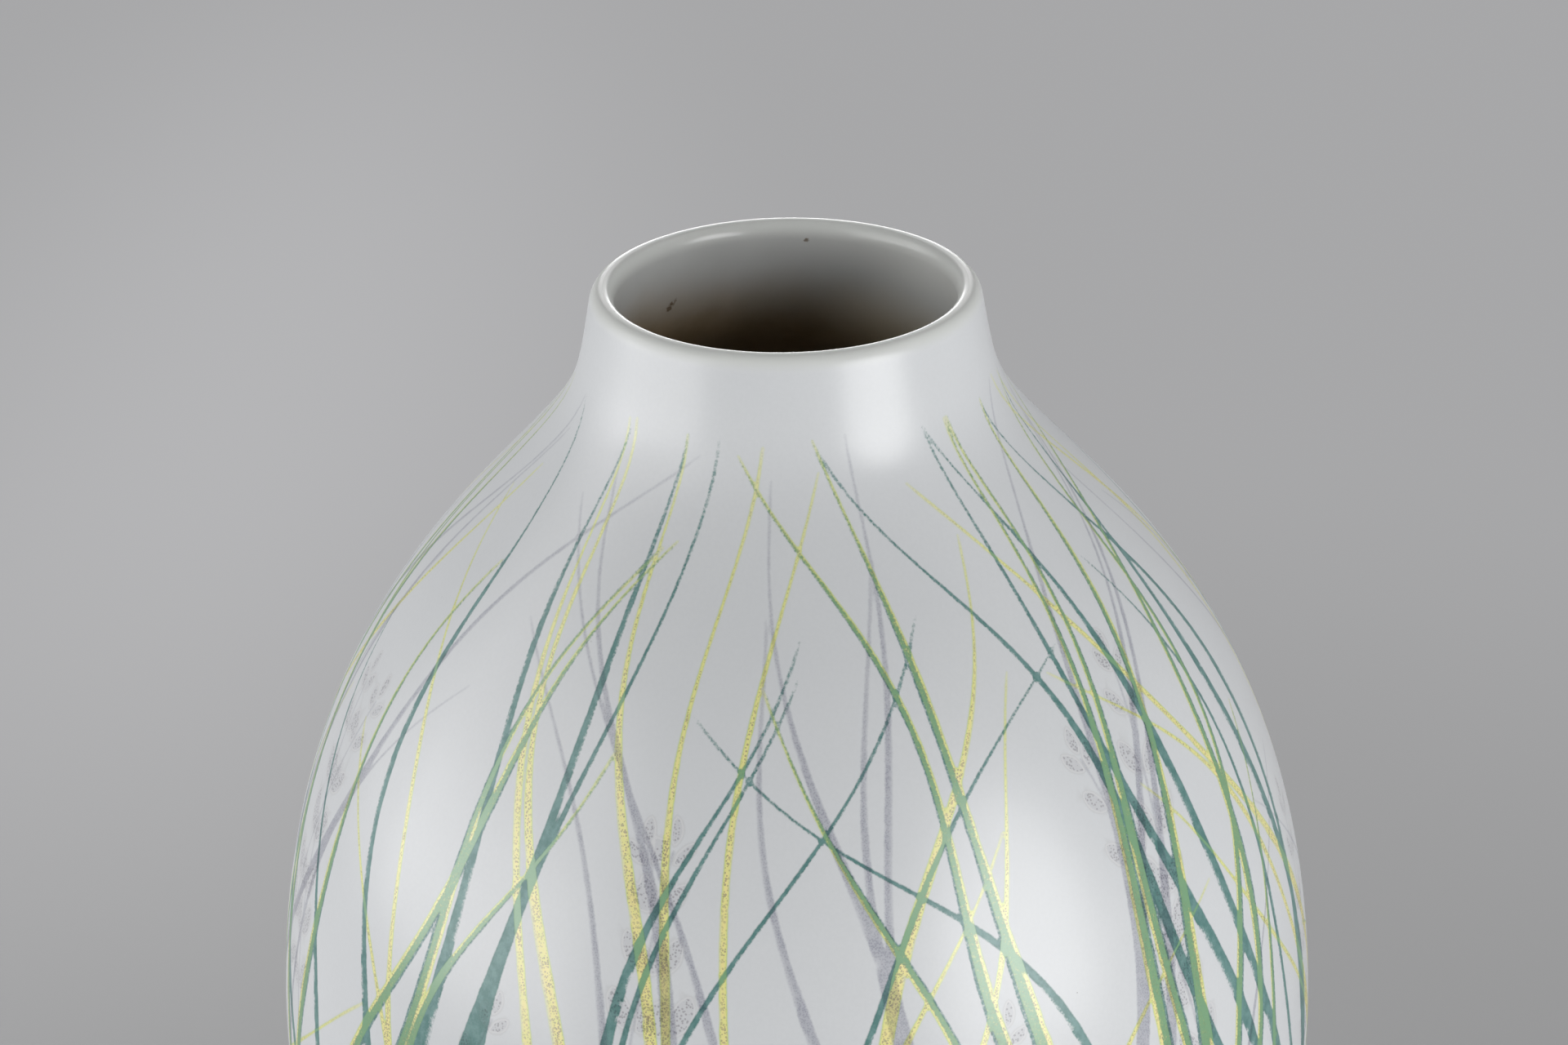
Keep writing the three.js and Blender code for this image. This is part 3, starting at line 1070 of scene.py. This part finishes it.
BACKDROP = (0.388, 0.388, 0.395)  # linear grey behind the vase
# Painted light: a soft pool of light on the backdrop and floor, lightest behind the vase's left
BACKDROP_GLOW = (0.462, 0.462, 0.472)  # where it is lightest, behind the vase's left
DIM_SIDE, LIT_SIDE = (0.05, 0.05, 0.051), (0.30, 0.30, 0.303)  # the room's light on its left and right
FLOOR = (0.72, 0.72, 0.725)  # as the vase's light comes off it
FLOOR_SEEN, FLOOR_GLOW = (0.49, 0.49, 0.494), (0.63, 0.63, 0.636)  # as it is seen, and where it is lightest
FLOOR_HALF = 30.0
GLOW_MIDDLE, GLOW_REACH = (-380, 1250), (460, 1700)  # of the lightest place
EVEN_FROM, EVEN_TO = 350, 1300  # where the floor runs out into the backdrop, from the vase's axis


def seen_ray(g):
    """1 for the rays that see the stage, straight or in a gloss, and 0 for those that only light the vase."""
    path = g.node("ShaderNodeLightPath")
    mirrored = g.math("MAXIMUM", path.outputs["Is Glossy Ray"], path.outputs["Is Transmission Ray"])
    return g.math("MAXIMUM", path.outputs["Is Camera Ray"], mirrored)


def floor_material():
    """A pale floor that keeps the vase's shadow near it and runs out into the even grey backdrop."""
    g = Graph("studio_floor")
    seen = seen_ray(g)
    x, y, _ = g.parts(g.place)

    def distance(middle, reach):
        """From a place on the floor, in shares of how far it reaches along X and along Y."""
        across = g.math("DIVIDE", g.math("SUBTRACT", x, middle[0]), reach[0])
        along = g.math("DIVIDE", g.math("SUBTRACT", y, middle[1]), reach[1])
        return g.math("SQRT", g.plus(g.times(across, across), g.times(along, along)))

    # Painted light: the soft pool of light behind the vase's left
    glow = g.ramp(distance(GLOW_MIDDLE, GLOW_REACH), 1, 0)
    diffuse = g.node("ShaderNodeBsdfDiffuse")
    g.put(diffuse.inputs["Color"], g.mix(seen, FLOOR, g.mix(glow, FLOOR_SEEN, FLOOR_GLOW)))
    even = g.node("ShaderNodeEmission")
    g.put(even.inputs["Color"], g.mix(glow, BACKDROP, BACKDROP_GLOW))
    evened = g.ramp(distance((0, 0), (1, 1)), EVEN_FROM, EVEN_TO, 0.1, 1.0)
    mix = g.node("ShaderNodeMixShader")
    g.put(mix.inputs[0], g.times(seen, evened))
    g.put(mix.inputs[1], diffuse.outputs[0])
    g.put(mix.inputs[2], even.outputs[0])
    g.output(mix)
    return g.material


def add_floor():
    corners = [(x * FLOOR_HALF, y * FLOOR_HALF, 0) for x, y in ((-1, -1), (1, -1), (1, 1), (-1, 1))]
    mesh = bpy.data.meshes.new("studio_floor")
    mesh.from_pydata(corners, [], [(0, 1, 2, 3)])
    mesh.materials.append(floor_material())
    floor = bpy.data.objects.new("studio_floor", mesh)
    bpy.context.scene.collection.objects.link(floor)


def add_world():
    """An even grey to look at, and a dim room, lighter on the right, to light the vase."""
    world = bpy.data.worlds.new("studio")
    bpy.context.scene.world = world
    g = Graph("studio", world)
    right, _, _ = g.parts(g.node("ShaderNodeTexCoord").outputs["Generated"])
    room = g.mix(g.ramp(right, 0.0, 0.8), DIM_SIDE, LIT_SIDE)
    background = g.node("ShaderNodeBackground")
    g.put(background.inputs["Color"], g.mix(seen_ray(g), room, BACKDROP))
    g.output(background)


LAMP_TARGET = Vector((0, 0, 0.46))  # in the shoulder
# Name, azimuth and elevation in degrees, distance, size, radiance and shape. Azimuth 0 is towards the
# camera, and positive is to its right.
SOFTBOXES = (
    ("softbox_right", 48, 4, 2.6, (1.7, 2.3), 6.25, "ELLIPSE"),
    ("softbox_right_high", 100, 45, 2.6, (1.6, 1.0), 0.55, "RECTANGLE"),
    ("softbox_left", -74, 2, 2.6, (2.7, 1.2), 3.7, "RECTANGLE"),
    ("softbox_left_high", -74, 28, 2.6, (2.7, 1.2), 1.9, "RECTANGLE"),
    ("softbox_left_rear", -108, 8, 2.6, (0.9, 2.4), 1.25, "RECTANGLE"),
    ("softbox_back", 180, 26, 3.2, (1.7, 2.4), 1.6, "RECTANGLE"),
    ("softbox_back_low", 180, 5, 3.2, (1.2, 0.8), 5.0, "RECTANGLE"),
)


def add_softbox(name, azimuth, elevation, distance, size, radiance, shape):
    """An area lamp that faces the shoulder."""
    a, e = math.radians(azimuth), math.radians(elevation)
    towards = Vector((math.sin(a) * math.cos(e), -math.cos(a) * math.cos(e), math.sin(e)))
    data = bpy.data.lights.new(name, "AREA")
    data.shape = shape
    data.size, data.size_y = size
    area = size[0] * size[1] * (math.pi / 4 if shape == "ELLIPSE" else 1)
    data.energy = radiance * math.pi * area
    lamp = bpy.data.objects.new(name, data)
    lamp.location = LAMP_TARGET + towards * distance
    lamp.rotation_euler = (-towards).to_track_quat("-Z", "Y").to_euler()
    lamp.visible_camera = False
    bpy.context.scene.collection.objects.link(lamp)


CAMERA_PITCH, CAMERA_ROLL = math.radians(25.147), math.radians(-0.97)
CAMERA_AIM, CAMERA_DISTANCE = Vector((-0.0019, 0, 0.51096)), 1.28215


def add_camera():
    """The photo's view: 25 degrees down, on an 85 mm lens, with the axis just right of the middle."""
    data = bpy.data.cameras.new("camera")
    data.lens = 85
    data.sensor_width = 36
    data.clip_end = 100
    camera = bpy.data.objects.new("camera", data)
    back = Vector((0, -math.cos(CAMERA_PITCH), math.sin(CAMERA_PITCH)))
    camera.location = CAMERA_AIM + back * CAMERA_DISTANCE
    tilt = Euler((math.pi / 2 - CAMERA_PITCH, 0, 0)).to_matrix()
    camera.rotation_euler = (tilt @ Euler((0, 0, CAMERA_ROLL)).to_matrix()).to_euler()
    bpy.context.scene.collection.objects.link(camera)
    bpy.context.scene.camera = camera


add_floor()
add_world()
for softbox in SOFTBOXES:
    add_softbox(*softbox)
add_camera()
bpy.context.scene.view_settings.view_transform = "Standard"
